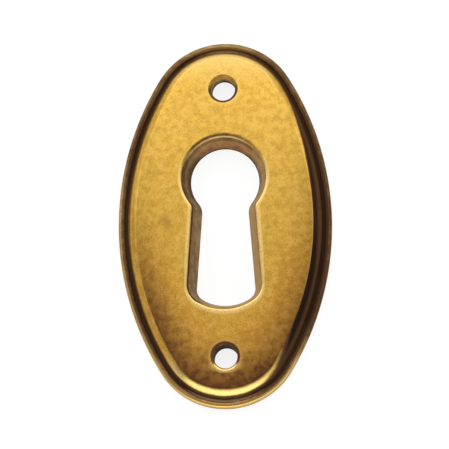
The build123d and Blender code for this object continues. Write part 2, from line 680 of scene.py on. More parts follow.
@dataclass(frozen=True)
class Arc:
    """A round stretch of an outline.

    Attributes:
        centre: Centre of the arc.
        radius: Radius of the arc.
        start: Angle at which it starts.
        sweep: Angle that it turns through, below 0 where it runs clockwise.
    """

    centre: Vector
    radius: float
    start: float
    sweep: float

    @property
    def length(self) -> float:
        """Length of the stretch."""
        return self.radius * abs(self.sweep)

    def at(self, distance: float) -> RailPoint:
        """Give a point of the stretch.

        Args:
            distance: How far along the stretch it is.

        Returns:
            The point.
        """
        turn = self.start + self.sweep * distance / self.length
        outward = Vector((cos(turn), sin(turn), 0))
        inward = -outward if self.sweep > 0 else outward
        return RailPoint(self.centre + outward * self.radius, inward)


@dataclass(frozen=True)
class Run:
    """A straight stretch of an outline."""

    start: Vector
    end: Vector

    @property
    def length(self) -> float:
        """Length of the stretch."""
        return (self.end - self.start).length

    def at(self, distance: float) -> RailPoint:
        """Give the point at a distance along the stretch."""
        along = (self.end - self.start).normalized()
        return RailPoint(self.start + along * distance, Vector((-along.y, along.x, 0)))


class Outline(ABC):
    """A closed outline, the same on both sides of the long centre line."""

    @abstractmethod
    def left_side(self) -> list[Arc | Run]:
        """List the stretches of the left side, from the top to the bottom."""

    def rail(self, columns: int) -> list[RailPoint]:
        """Space points evenly all round the outline.

        Args:
            columns: Number of points, which is even.

        Returns:
            The points, anticlockwise from the top.
        """
        stretches = self.left_side()
        pace = sum(stretch.length for stretch in stretches) / (columns // 2)

        def point_at(distance: float) -> RailPoint:
            """Find a point of the left side.

            Args:
                distance: How far down the left side it is.

            Returns:
                The point.
            """
            for stretch in stretches[:-1]:
                if distance <= stretch.length:
                    return stretch.at(distance)
                distance -= stretch.length
            return stretches[-1].at(distance)

        left = [point_at(pace * step) for step in range(columns // 2 + 1)]
        return left + [point.mirrored() for point in reversed(left[1:-1])]


def angle_of(direction: Vector) -> float:
    """Give the angle of a flat direction, from 0 up to a full turn."""
    return atan2(direction.y, direction.x) % tau


def line_meets_circle(start: Vector, along: Vector, centre: Vector, radius: float) -> Vector:
    """Find where a line leaves a circle that it starts inside.

    Args:
        start: A point of the line, inside the circle.
        along: Unit direction of the line.
        centre: Centre of the circle.
        radius: Radius of the circle.

    Returns:
        The point where the line crosses the circle.
    """
    offset = start - centre
    ahead = offset.dot(along)
    return start + along * (sqrt(ahead**2 - offset.length_squared + radius**2) - ahead)


@dataclass(frozen=True)
class Oval(Outline):
    """The plate's outline: an oval of four arcs, with round ends that its long sides run into."""

    half_width: float
    half_height: float
    end_radius: float

    def left_side(self) -> list[Arc | Run]:
        """List the stretches of the left side.

        Returns:
            Half of the top end, the long side, and half of the bottom end.
        """
        end_offset = self.half_height - self.end_radius
        squares = self.half_width**2 + end_offset**2 - self.end_radius**2
        side_radius = squares / (2 * (self.half_width - self.end_radius))
        top_centre = Vector((0, end_offset, 0))
        side_centre = Vector((side_radius - self.half_width, 0, 0))
        meeting = angle_of(top_centre - side_centre)
        return [
            Arc(top_centre, self.end_radius, pi / 2, meeting - pi / 2),
            Arc(side_centre, side_radius, meeting, 2 * (pi - meeting)),
            Arc(-top_centre, self.end_radius, tau - meeting, meeting - pi / 2),
        ]


@dataclass(frozen=True)
class Keyhole(Outline):
    """The keyhole at the front of the plate: a round end on a slot that widens to an arched foot."""

    round_radius: float = 5.175
    round_offset: float = 5.5
    slot_reach: float = 10.95
    neck_width: float = 7.75
    neck_offset: float = 1.1
    foot_width: float = 8.95
    foot_offset: float = 6.65
    foot_bow: float = 2.0
    neck_radius: float = 1.0
    corner_radius: float = 2.5
    narrowing: float = 1.0
    edge_radius: float = 0.4

    def left_side(self) -> list[Arc | Run]:
        """List the stretches of the left side.

        Returns:
            Half of the round end, the neck, the slot's side, its corner, and half of the arched foot.
        """
        flare = (self.foot_width - self.neck_width) / 2 / (self.neck_offset + self.foot_offset)

        def half_slot(y: float) -> float:
            """Give half of the slot's width at a place on the long centre line."""
            return self.neck_width / 2 + flare * (self.neck_offset - y)

        round_centre = Vector((0, self.round_offset, 0))
        side_top = Vector((-half_slot(self.round_offset), self.round_offset, 0))
        down = Vector((-flare, -1, 0)).normalized()
        inward = Vector((-down.y, down.x, 0))
        half_foot = half_slot(self.foot_bow - self.slot_reach)
        foot_radius = (half_foot**2 + self.foot_bow**2) / (2 * self.foot_bow)
        foot_centre = Vector((0, foot_radius - self.slot_reach, 0))

        neck_centre = line_meets_circle(
            side_top - inward * self.neck_radius,
            down,
            round_centre,
            self.round_radius + self.neck_radius,
        )
        corner_centre = line_meets_circle(
            side_top + inward * self.corner_radius,
            down,
            foot_centre,
            foot_radius - self.corner_radius,
        )
        round_end = angle_of(neck_centre - round_centre)
        neck_start = angle_of(round_centre - neck_centre)
        neck_end = angle_of(inward) - tau
        corner_start = angle_of(-inward)
        corner_end = angle_of(corner_centre - foot_centre)
        return [
            Arc(round_centre, self.round_radius, pi / 2, round_end - pi / 2),
            Arc(neck_centre, self.neck_radius, neck_start, neck_end - neck_start),
            Run(neck_centre + inward * self.neck_radius, corner_centre - inward * self.corner_radius),
            Arc(corner_centre, self.corner_radius, corner_start, corner_end - corner_start),
            Arc(foot_centre, foot_radius, corner_end, 1.5 * pi - corner_end),
        ]


@dataclass(frozen=True)
class Station:
    """A point of the rim's section: distance inwards from the outline, height, and finish."""

    inward: float
    height: float
    surface: Surface


@dataclass(frozen=True)
class RimSection:
    """Section of the moulded rim, from the outline inwards: round lip, groove and bowed shoulder.

    Values that end in _share are shares of the way over the lip or the groove, where a finish ends.
    """

    edge_break: float = 0.15
    lip_height: float = 1.2
    lip_radius: float = 0.375
    groove_radius: float = 0.21
    shoulder_foot_height: float = 1.1
    shoulder_width: float = 1.03
    shoulder_bow: float = 0.1
    round_steps: int = 14
    shoulder_steps: int = 9
    lip_side_share: float = 0.45
    lip_crest_share: float = 0.8
    groove_share: float = 0.6

    @property
    def width(self) -> float:
        """Distance from the outline to the edge of the field."""
        return 2 * self.lip_radius + 2 * self.groove_radius + self.shoulder_width

    def half_round(
        self, start: float, radius: float, rise: float
    ) -> Iterator[tuple[float, float, float]]:
        """Walk over a half-round bead or groove.

        Args:
            start: Distance inwards at which it starts.
            radius: Radius of the half-round.
            rise: 1 for a bead, and -1 for a groove.

        Yields:
            Share of the way over it, distance inwards and height.
        """
        level = self.lip_height - self.lip_radius
        for step in range(1, self.round_steps + 1):
            turn = pi * step / self.round_steps
            inward = start + radius * (1 - cos(turn))
            yield step / self.round_steps, inward, level + rise * radius * sin(turn)

    def stations(self, field_edge_height: float) -> Iterator[Station]:
        """Walk over the section from the back edge to the edge of the field.

        Args:
            field_edge_height: Height at which the shoulder meets the field.

        Yields:
            The stations after the back edge, the last one being the edge of the field.
        """
        yield Station(0.0, self.edge_break, Surface.SIDE)
        yield Station(0.0, self.lip_height - self.lip_radius, Surface.LIP)
        for share, inward, height in self.half_round(0.0, self.lip_radius, 1):
            surface = Surface.GROOVE
            if share < self.lip_side_share:
                surface = Surface.LIP
            elif share < self.lip_crest_share:
                surface = Surface.LIP_CREST
            yield Station(inward, height, surface)
        groove_start = 2 * self.lip_radius
        for share, inward, height in self.half_round(groove_start, self.groove_radius, -1):
            surface = Surface.GROOVE if share < self.groove_share else Surface.SHOULDER_FOOT
            yield Station(inward, height, surface)
        groove_end = groove_start + 2 * self.groove_radius
        yield Station(groove_end, self.shoulder_foot_height, Surface.SHOULDER_FOOT)
        rise = field_edge_height - self.shoulder_foot_height
        chord = hypot(self.shoulder_width, rise)
        for step in range(1, self.shoulder_steps + 1):
            share = step / self.shoulder_steps
            swell = 4 * self.shoulder_bow * share * (1 - share) / chord
            inward = groove_end + self.shoulder_width * share - swell * rise
            height = self.shoulder_foot_height + rise * share + swell * self.shoulder_width
            yield Station(inward, height, Surface.SHOULDER)


@dataclass(frozen=True)
class Dome:
    """The domed field, part of a flat ellipsoid."""

    half_width: float
    half_height: float
    depth: float
    crown: float

    def height(self, x: float, y: float) -> float:
        """Give the height of the field above the back."""
        across = (x / self.half_width) ** 2 + (y / self.half_height) ** 2
        return self.crown - self.depth * (1 - sqrt(1 - across))

    def lift(self, place: Vector) -> Vector:
        """Give the place on the field above or below a place."""
        return Vector((place.x, place.y, self.height(place.x, place.y)))


@dataclass
class RingLoft:
    """A skin drawn ring by ring: each ring is extruded from the last and moved into place.

    Attributes:
        mesh: The mesh to draw in.
        ring: Vertices of the last ring, in order.
        weathering_and_light: How the finish has aged, with light and shade painted on it.
    """

    mesh: bmesh.types.BMesh
    ring: Ring
    weathering_and_light: WeatheringAndLight

    def place(self, places: Sequence[Vector], surface: Surface) -> None:
        """Move the ring into place and record the state of the metal there.

        Args:
            places: One place for each vertex, in millimetres.
            surface: What the ring lies on.
        """
        layers = self.mesh.verts.layers.float
        for vert, place in zip(self.ring, places, strict=True):
            vert.co = place * MILLIMETRE
            skin = self.weathering_and_light.skin(surface, place)
            for layer in SkinLayer:
                vert[layers[layer.value]] = getattr(skin, layer.value)

    def places(self) -> list[Vector]:
        """List where the vertices of the last ring are, in millimetres."""
        return [vert.co / MILLIMETRE for vert in self.ring]

    def extrude(self, places: Sequence[Vector], surface: Surface) -> Ring:
        """Draw the skin on to a new ring.

        Args:
            places: One place for each vertex, in millimetres.
            surface: What the new ring lies on.

        Returns:
            The vertices of the new ring, in order.
        """
        following = self.ring[1:] + self.ring[:1]
        edges = [self.mesh.edges.get(pair) for pair in zip(self.ring, following)]
        made = bmesh.ops.extrude_edge_only(self.mesh, edges=edges)["geom"]
        fresh = {item for item in made if isinstance(item, bmesh.types.BMVert)}
        self.ring = [
            next(edge.other_vert(vert) for edge in vert.link_edges if edge.other_vert(vert) in fresh)
            for vert in self.ring
        ]
        self.place(places, surface)
        return self.ring


def add_object(name: str, mesh: bmesh.types.BMesh, material: bpy.types.Material) -> bpy.types.Object:
    """Turn a finished mesh into an object of the scene.

    Args:
        name: Name of the object and of its mesh.
        mesh: The finished mesh, which is freed.
        material: What it is made of.

    Returns:
        The object, at the origin.
    """
    data = bpy.data.meshes.new(name)
    mesh.to_mesh(data)
    mesh.free()
    data.materials.append(material)
    made = bpy.data.objects.new(name, data)
    bpy.context.scene.collection.objects.link(made)
    return made


@dataclass(frozen=True)
class Pattern:
    """A cloudy pattern in the metal.

    Attributes:
        scale: Patterns to a millimetre.
        detail: Octaves of finer pattern.
        roughness: Share of each finer octave.
    """

    scale: float
    detail: float
    roughness: float


class Operation(Enum):
    """Ways to combine two values in a finish."""

    ADD = "ADD"
    SUBTRACT = "SUBTRACT"
    MULTIPLY = "MULTIPLY"
    LARGER = "MAXIMUM"


class Mixture(Enum):
    """What can be mixed in a finish: the kind of mix and the kind of its sockets."""

    COLOURS = ("RGBA", "RGBA")
    NUMBERS = ("FLOAT", "VALUE")


class NodeBoard:
    """A material and its node tree, with short ways to add the nodes that a finish needs."""

    def __init__(self, name: str) -> None:
        """Make the material.

        Args:
            name: Name of the material.
        """
        self.material = bpy.data.materials.new(name)
        self.material.use_nodes = True
        self.tree = self.material.node_tree
        self.shader = next(node for node in self.tree.nodes if node.type == "BSDF_PRINCIPLED")

    @cached_property
    def coordinates(self) -> bpy.types.NodeSocket:
        """Coordinates of the object, in metres."""
        return self.tree.nodes.new("ShaderNodeTexCoord").outputs["Object"]

    def feed(self, target: bpy.types.NodeSocket, value: Feed) -> None:
        """Set a socket from another socket, a number or a colour.

        Args:
            target: The socket to set.
            value: What it takes.
        """
        if isinstance(value, bpy.types.NodeSocket):
            self.tree.links.new(value, target)
        elif isinstance(value, tuple):
            target.default_value = (*value, 1.0)
        else:
            target.default_value = value

    def dress(self, name: str, value: Feed) -> None:
        """Set a socket of the shader by its name."""
        self.feed(self.shader.inputs[name], value)

    def pattern(self, pattern: Pattern) -> bpy.types.NodeSocket:
        """Add a cloudy pattern.

        Args:
            pattern: What the pattern is like.

        Returns:
            The pattern, around 0.5.
        """
        node = self.tree.nodes.new("ShaderNodeTexNoise")
        self.feed(node.inputs["Vector"], self.coordinates)
        self.feed(node.inputs["Scale"], pattern.scale / MILLIMETRE)
        self.feed(node.inputs["Detail"], pattern.detail)
        self.feed(node.inputs["Roughness"], pattern.roughness)
        return node.outputs["Fac"]

    def layer(self, layer: SkinLayer) -> bpy.types.NodeSocket:
        """Read one layer of the casting's skin.

        Args:
            layer: The layer.

        Returns:
            Its value at each place.
        """
        node = self.tree.nodes.new("ShaderNodeAttribute")
        node.attribute_name = layer.value
        return node.outputs["Fac"]

    def combine(self, operation: Operation, first: Feed, second: Feed) -> bpy.types.NodeSocket:
        """Combine two values.

        Args:
            operation: How to combine them.
            first: The first value.
            second: The second value.

        Returns:
            The result.
        """
        node = self.tree.nodes.new("ShaderNodeMath")
        node.operation = operation.value
        self.feed(node.inputs[0], first)
        self.feed(node.inputs[1], second)
        return node.outputs["Value"]

    def total(self, first: Feed, second: Feed) -> bpy.types.NodeSocket:
        """Add two values."""
        return self.combine(Operation.ADD, first, second)

    def product(self, first: Feed, second: Feed) -> bpy.types.NodeSocket:
        """Multiply two values."""
        return self.combine(Operation.MULTIPLY, first, second)

    def larger(self, first: Feed, second: Feed) -> bpy.types.NodeSocket:
        """Give the larger of two values."""
        return self.combine(Operation.LARGER, first, second)

    def remainder(self, share: Feed) -> bpy.types.NodeSocket:
        """Give what a share leaves of 1."""
        return self.combine(Operation.SUBTRACT, 1.0, share)

    def spread(
        self, value: Feed, start: float, end: float, low: float, high: float
    ) -> bpy.types.NodeSocket:
        """Map a value smoothly from one range to another.

        Args:
            value: The value to map.
            start: Value that becomes low.
            end: Value that becomes high.
            low: Result at the start and before it.
            high: Result at the end and after it.

        Returns:
            The mapped value.
        """
        node = self.tree.nodes.new("ShaderNodeMapRange")
        node.interpolation_type = "SMOOTHSTEP"
        names = ("Value", "From Min", "From Max", "To Min", "To Max")
        for name, given in zip(names, (value, start, end, low, high)):
            self.feed(node.inputs[name], given)
        return node.outputs["Result"]

    def share(self, value: Feed, start: float, end: float) -> bpy.types.NodeSocket:
        """Map a value smoothly from a range to 0 and 1."""
        return self.spread(value, start, end, 0.0, 1.0)

    def mix(self, kind: Mixture, factor: Feed, first: Feed, second: Feed) -> bpy.types.NodeSocket:
        """Mix two values.

        Args:
            kind: What they are.
            factor: Share of the second value.
            first: The first value.
            second: The second value.

        Returns:
            The mixed value.
        """
        node = self.tree.nodes.new("ShaderNodeMix")
        node.data_type, socket_type = kind.value
        typed = [socket for socket in node.inputs if socket.type == socket_type]
        ends = [socket for socket in typed if socket.name in ("A", "B")]
        self.feed(node.inputs["Factor"], factor)
        self.feed(ends[0], first)
        self.feed(ends[1], second)
        return next(socket for socket in node.outputs if socket.type == socket_type)

    def tint(self, factor: Feed, first: Feed, second: Feed) -> bpy.types.NodeSocket:
        """Mix two colours by the share of the second."""
        return self.mix(Mixture.COLOURS, factor, first, second)

    def blend(self, factor: Feed, first: Feed, second: Feed) -> bpy.types.NodeSocket:
        """Mix two numbers by the share of the second."""
        return self.mix(Mixture.NUMBERS, factor, first, second)

    def bump(self, height: bpy.types.NodeSocket, strength: float, distance: float) -> None:
        """Bump the surface.

        Args:
            height: Pattern of the bumps.
            strength: Strength of the effect.
            distance: Height of the bumps in metres.
        """
        node = self.tree.nodes.new("ShaderNodeBump")
        self.feed(node.inputs["Strength"], strength)
        self.feed(node.inputs["Distance"], distance)
        self.feed(node.inputs["Height"], height)
        self.dress("Normal", node.outputs["Normal"])


@dataclass(frozen=True)
class AntiqueBrass:
    """Antiqued brass: polished metal, dull cast skin and dark patina, mixed by the casting's skin,
    which also carries painted light and shade.

    Spans are taken over a pattern or a layer of the skin, and pattern values lie around 0.5.
    """

    gold: Colour = (0.745, 0.442, 0.071)
    olive: Colour = (0.67, 0.397, 0.063)
    amber: Colour = (0.73, 0.37, 0.052)
    # Bright brass for worn places and painted highlights.
    bright: Colour = (0.88, 0.612, 0.205)
    # Umber for browned metal, pits and painted shade.
    umber: Colour = (0.17, 0.066, 0.022)
    cast: Colour = (0.41, 0.28, 0.14)
    russet: Colour = (0.44, 0.225, 0.085)
    # Brown of the patina, also used for painted shade.
    patina: Colour = (0.11, 0.052, 0.023)
    # Black for the deepest patina and painted shade.
    black_patina_and_shade: Colour = (0.022, 0.011, 0.007)
    dust: Colour = (0.62, 0.42, 0.27)
    edge_tint: Colour = (0.9, 0.72, 0.52)
    mottle: Pattern = Pattern(scale=0.9, detail=4.0, roughness=0.6)
    speckle: Pattern = Pattern(scale=1.3, detail=2.0, roughness=0.5)
    grain: Pattern = Pattern(scale=5.5, detail=3.0, roughness=0.55)
    gold_span: Span = (0.36, 0.64)
    speck_span: Span = (0.4, 0.75)
    speck_strength: float = 0.22
    glint_span: Span = (0.55, 0.25)
    glint_strength: float = 0.2
    pit_span: Span = (0.44, 0.75)
    pit_warmth_span: Span = (0.0, 0.6)
    pit_strengths: Strengths = (0.31, 0.46)
    toning_and_shade_span: Span = (0.25, 0.75)
    toning_and_shade_strengths: Strengths = (0.82, 1.14)
    uneven_span: Span = (0.3, 0.7)
    uneven_strengths: Strengths = (-0.15, 0.15)
    patina_span: Span = (0.0, 1.0)
    blackening_span: Span = (1.0, 1.6)
    polished_roughness: float = 0.3
    cast_roughness: float = 0.5
    patina_roughness: float = 0.6
    patina_gloss: float = 0.03
    bump_strength: float = 0.25
    bump_height: float = 0.004

    def material(self) -> bpy.types.Material:
        """Make the material.

        Returns:
            The finished material.
        """
        board = NodeBoard(SLOT_NAME)
        skin = {layer: board.layer(layer) for layer in SkinLayer}
        polish, depth, dust = skin[SkinLayer.POLISH], skin[SkinLayer.PATINA_AND_SHADE], skin[SkinLayer.DUST]
        mottle = board.pattern(self.mottle)
        grain = board.pattern(self.grain)
        uneven = board.spread(mottle, *self.uneven_span, *self.uneven_strengths)
        patina = board.share(board.total(depth, uneven), *self.patina_span)
        cover = board.larger(patina, dust)

        cast = board.tint(skin[SkinLayer.TONING_AND_SHADE], self.cast, self.russet)
        colour = board.tint(polish, cast, self.metal(board, skin, mottle))
        pitting = board.spread(skin[SkinLayer.WARMTH], *self.pit_warmth_span, *self.pit_strengths)
        pits = board.product(board.share(grain, *self.pit_span), pitting)
        colour = board.tint(pits, colour, self.umber)
        # Patina and painted shade darken the colour, the deepest to black.
        dark = board.tint(board.share(depth, *self.blackening_span), self.patina, self.black_patina_and_shade)
        colour = board.tint(patina, colour, dark)
        colour = board.tint(dust, colour, self.dust)
        roughness = board.blend(polish, self.cast_roughness, self.polished_roughness)
        roughness = board.blend(cover, roughness, self.patina_roughness)

        board.dress("Base Color", colour)
        board.dress("Roughness", roughness)
        board.dress("Metallic", board.remainder(cover))
        board.dress("Specular IOR Level", self.patina_gloss)
        board.dress("Specular Tint", self.edge_tint)
        board.bump(board.total(grain, mottle), self.bump_strength, self.bump_height * MILLIMETRE)
        return board.material

    def metal(
        self,
        board: NodeBoard,
        skin: Mapping[SkinLayer, bpy.types.NodeSocket],
        mottle: bpy.types.NodeSocket,
    ) -> bpy.types.NodeSocket:
        """Colour the polished metal: mottled gold, browned where it has aged or shade is painted, with
        specks, and bright where it is worn or highlights are painted.

        Args:
            board: The material's nodes.
            skin: Layers of the casting's skin.
            mottle: Pattern of the broad mottling.

        Returns:
            The colour.
        """
        speckle = board.pattern(self.speckle)
        toning = skin[SkinLayer.TONING_AND_SHADE]
        metal = board.tint(board.share(mottle, *self.gold_span), self.olive, self.gold)
        metal = board.tint(skin[SkinLayer.WARMTH], metal, self.amber)
        specks = board.spread(speckle, *self.speck_span, 0.0, self.speck_strength)
        broken = board.spread(mottle, *self.toning_and_shade_span, *self.toning_and_shade_strengths)
        toned_or_shaded = board.total(board.product(broken, toning), specks)
        # Browned metal and painted shade turn it umber.
        metal = board.tint(toned_or_shaded, metal, self.umber)
        glints = board.spread(speckle, *self.glint_span, 0.0, self.glint_strength)
        glints = board.product(glints, board.remainder(toning))
        # Worn places and painted highlights turn the metal bright.
        return board.tint(board.larger(skin[SkinLayer.WEAR_AND_HIGHLIGHT], glints), metal, self.bright)


@dataclass
class EscutcheonPlate:
    """The casting: moulded rim, domed field, funnel-shaped keyhole and two screw holes.

    Values that end in _share are shares of the way along a rounded edge or down a wall.
    """

    width: float = 26.0
    height: float = 45.6
    end_radius: float = 9.2
    thickness: float = 3.0
    dome_rise: float = 0.85
    dome_overhang: float = 0.2
    field_edge_radius: float = 0.2
    field_edge_leg: float = 1.0
    screw_spacing: float = 33.4
    screw_radius: float = 1.45
    screw_mouth_radius: float = 0.4
    screw_patch_reach: float = 2.6
    rim: RimSection = field(default_factory=RimSection)
    keyhole: Keyhole = field(default_factory=Keyhole)
    finish: AntiqueBrass = field(default_factory=AntiqueBrass)
    weathering_and_light: WeatheringAndLight = field(default_factory=WeatheringAndLight)
    columns: int = 320
    field_rings: int = 34
    corner_steps: int = 6
    wall_steps: int = 10
    hole_edge_share: float = 0.4
    hole_turn_share: float = 0.9
    throat_share: float = 0.3
    back_edge_share: float = 0.93
    bore_top_share: float = 0.25
    hairline: float = 0.03
    sharp_angle: float = radians(40)
    oval: Oval = field(init=False)
    dome: Dome = field(init=False)

    def __post_init__(self) -> None:
        """Work out the oval and the dome from the plate's sizes."""
        self.oval = Oval(self.width / 2, self.height / 2, self.end_radius)
        field_half_width = self.width / 2 - self.rim.width
        spread = (self.width / 2 + self.dome_overhang) / field_half_width
        self.dome = Dome(
            half_width=spread * field_half_width,
            half_height=spread * (self.height / 2 - self.rim.width),
            depth=self.dome_rise / (1 - sqrt(1 - 1 / spread**2)),
            crown=self.thickness,
        )

    def build(self) -> bpy.types.Object:
        """Make the plate as one closed mesh and dress it.

        Returns:
            The plate's object, at the origin.
        """
        mesh = bmesh.new()
        for layer in SkinLayer:
            mesh.verts.layers.float.new(layer.value)
        rows = self.draw_front(mesh)
        for y in (self.screw_spacing / 2, -self.screw_spacing / 2):
            self.draw_bore(mesh, rows, y)
        self.close_back(mesh)
        self.shade(mesh)
        return add_object(PIECE_NAME, mesh, self.finish.material())

    def draw_front(self, mesh: bmesh.types.BMesh) -> list[Ring]:
        """Draw the skin over the rim, across the field and down the keyhole's wall.

        Args:
            mesh: The mesh to draw in.

        Returns:
            The rings of the field, from the shoulder to the keyhole's rounded edge.
        """
        circle = bmesh.ops.create_circle(mesh, cap_ends=False, segments=self.columns, radius=1.0)
        loft = RingLoft(mesh, circle["verts"], self.weathering_and_light)
        keyhole_rail = self.keyhole.rail(self.columns)
        corners = [self.keyhole_corner(point) for point in keyhole_rail]
        self.draw_rim(loft)
        rows = self.draw_field(loft, corners)
        rows.append(self.draw_keyhole_edge(loft, corners))
        self.draw_keyhole_wall(loft, keyhole_rail)
        return rows

    def draw_rim(self, loft: RingLoft) -> None:
        """Draw the rim from the back edge up to the softened edge of the field.

        Args:
            loft: The skin, which starts here.
        """
        rail = self.oval.rail(self.columns)
        loft.place([point.inset(self.rim.edge_break, 0.0) for point in rail], Surface.BACK)
        *stations, field_edge = self.rim.stations(self.thickness - self.dome_rise)
        for station in stations:
            places = [point.inset(station.inward, station.height) for point in rail]
            loft.extrude(places, station.surface)

        foot = [point.inset(stations[-1].inward, stations[-1].height) for point in rail]
        crease = [self.dome.lift(point.inset(field_edge.inward, 0.0)) for point in rail]
        beyond = field_edge.inward + self.field_edge_leg
        field_legs = [self.dome.lift(point.inset(beyond, 0.0)) for point in rail]
        for step in range(self.corner_steps + 1):
            share = step / self.corner_steps
            places = [
                round_off(*legs, self.field_edge_radius, share)
                for legs in zip(foot, crease, field_legs)
            ]
            loft.extrude(places, Surface.FIELD_EDGE if step else Surface.SHOULDER)

    def draw_field(self, loft: RingLoft, corners: Sequence[Legs]) -> list[Ring]:
        """Draw the field up to the keyhole's rounded edge.

        Args:
            loft: The skin, which has reached the edge of the field.
            corners: The sharp front edge of the keyhole, with a point on each side of it.

        Returns:
            The rings of the field, from the shoulder to the last before the rounded edge.
        """
        outer = loft.places()
        inner = [round_off(*legs, self.keyhole.edge_radius, 0.0) for legs in corners]
        rows = [loft.ring]
        for step in range(1, self.field_rings):
            share = step / self.field_rings
            places = [self.dome.lift(start.lerp(end, share)) for start, end in zip(outer, inner)]
            by_hole = step == self.field_rings - 1
            rows.append(loft.extrude(places, Surface.HOLE_RIM if by_hole else Surface.FIELD))
        return rows

    def draw_keyhole_edge(self, loft: RingLoft, corners: Sequence[Legs]) -> Ring:
        """Draw the keyhole's rounded front edge.

        Args:
            loft: The skin, which has reached the keyhole.
            corners: The sharp front edge of the keyhole, with a point on each side of it.

        Returns:
            The first ring of the rounded edge, which is also the last of the field.
        """
        rings: list[Ring] = []
        for step in range(self.corner_steps + 1):
            share = step / self.corner_steps
            places = [round_off(*legs, self.keyhole.edge_radius, share) for legs in corners]
            surface = Surface.THROAT
            if share < self.hole_edge_share:
                surface = Surface.HOLE_EDGE
            elif share < self.hole_turn_share:
                surface = Surface.HOLE_TURN
            rings.append(loft.extrude(places, surface))
        return rings[0]

    def keyhole_corner(self, point: RailPoint) -> Legs:
        """Find the sharp front edge of the keyhole and a point on each side of it.

        Args:
            point: A point of the keyhole's outline.

        Returns:
            A point of the field near the edge, the edge itself and a point of the wall below it.
        """
        slope = self.keyhole.narrowing / self.thickness
        height = self.dome.height(point.place.x, point.place.y)
        edge = self.dome.lift(point.inset(slope * (self.thickness - height), 0.0))
        beside = self.dome.lift(edge - point.inward * self.keyhole.edge_radius)
        below = edge + point.inward * slope - Vector((0, 0, 1))
        return beside, edge, below

    def draw_keyhole_wall(self, loft: RingLoft, rail: Sequence[RailPoint]) -> None:
        """Draw the keyhole's wall down to the back.

        Args:
            loft: The skin, which has reached the foot of the keyhole's rounded edge.
            rail: The keyhole's outline.
        """
        tops = loft.places()
        bottoms = [point.inset(self.keyhole.narrowing, 0.0) for point in rail]
        for step in range(1, self.wall_steps + 1):
            share = step / self.wall_steps
            surface = Surface.WALL
            if share < self.throat_share:
                surface = Surface.THROAT
            elif share > self.back_edge_share:
                surface = Surface.BACK_EDGE
            places = [top.lerp(bottom, share) for top, bottom in zip(tops, bottoms)]
            loft.extrude(places, surface)
        back = self.keyhole.narrowing - self.hairline
        loft.extrude([point.inset(back, 0.0) for point in rail], Surface.BACK)

    def draw_bore(self, mesh: bmesh.types.BMesh, rows: Sequence[Ring], y: float) -> None:
        """Open a patch of the field and draw a screw hole's skin down from it.

        Args:
            mesh: The mesh to draw in.
            rows: The rings of the field.
            y: The hole's place on the long centre line.
        """
        axis = Vector((0, y, 0))
        loft = RingLoft(mesh, self.open_patch(mesh, rows, axis), self.weathering_and_light)
        patch_edge = loft.places()
        headings = [Vector((*(place - axis).xy, 0)).normalized() for place in patch_edge]
        corners = [self.bore_corner(axis, heading) for heading in headings]
        mouth = [round_off(*legs, self.screw_mouth_radius, 0.0) for legs in corners]
        halfway = [self.dome.lift(start.lerp(end, 0.5)) for start, end in zip(patch_edge, mouth)]
        loft.extrude(halfway, Surface.FIELD)
        loft.extrude(mouth, Surface.SCREW_RIM)
        for step in range(1, self.corner_steps + 1):
            share = step / self.corner_steps
            places = [round_off(*legs, self.screw_mouth_radius, share) for legs in corners]
            loft.extrude(places, Surface.SCREW_MOUTH)
        feet = [axis + heading * self.screw_radius for heading in headings]
        tops = [edge.lerp(foot, self.bore_top_share) for (_, edge, _), foot in zip(corners, feet)]
        loft.extrude(tops, Surface.BORE)
        loft.extrude([foot + Vector((0, 0, self.hairline)) for foot in feet], Surface.BORE)
        loft.extrude(feet, Surface.BACK)

    def bore_corner(self, axis: Vector, heading: Vector) -> Legs:
        """Find the sharp front edge of a screw hole and a point on each side of it.

        Args:
            axis: The hole's place on the back.
            heading: Flat direction out from the axis.

        Returns:
            A point of the field beside the bore, the bore's edge and a point below it.
        """
        edge = self.dome.lift(axis + heading * self.screw_radius)
        beside = self.dome.lift(edge + heading * self.screw_mouth_radius)
        return beside, edge, edge - Vector((0, 0, 1))

    def open_patch(self, mesh: bmesh.types.BMesh, rows: Sequence[Ring], axis: Vector) -> Ring:
        """Delete the faces of the field around a screw hole.

        Args:
            mesh: The mesh to cut.
            rows: The rings of the field.
            axis: The hole's place on the back.

        Returns:
            The vertices around the opening, in order.
        """
        reach = self.screw_patch_reach * MILLIMETRE
        middle = 0 if axis.y > 0 else self.columns // 2
        near = [
            index for index, row in enumerate(rows)
            if abs(row[middle].co.y - axis.y * MILLIMETRE) < reach
        ]
        first, last = near[0], near[-1]
        middle_row = rows[(first + last) // 2]
        half = max(
            step for step in range(self.columns // 4) if abs(middle_row[middle - step].co.x) < reach
        )
        across = [step % self.columns for step in range(middle - half, middle + half + 1)]
        grid = [[row[step] for step in across] for row in rows[first:last + 1]]
        inside = {vert for row in grid for vert in row}
        faces = [face for face in mesh.faces if inside.issuperset(face.verts)]
        right_side = [row[-1] for row in grid[1:-1]]
        left_side = [row[0] for row in reversed(grid[1:-1])]
        bmesh.ops.delete(mesh, geom=faces, context="FACES")
        return [*grid[0], *right_side, *reversed(grid[-1]), *left_side]

    def close_back(self, mesh: bmesh.types.BMesh) -> None:
        """Fill the flat back between its outer edge, the keyhole and the bores."""
        edges = [edge for edge in mesh.edges if edge.is_boundary]
        bmesh.ops.triangle_fill(mesh, use_beauty=True, use_dissolve=False, edges=edges)

    def shade(self, mesh: bmesh.types.BMesh) -> None:
        """Turn the faces outwards and shade them smoothly, apart from the sharp edges at the back.

        Args:
            mesh: The closed mesh.
        """
        bmesh.ops.recalc_face_normals(mesh, faces=mesh.faces)
        for face in mesh.faces:
            face.smooth = True
        for edge in mesh.edges:
            edge.smooth = edge.calc_face_angle(0.0) < self.sharp_angle


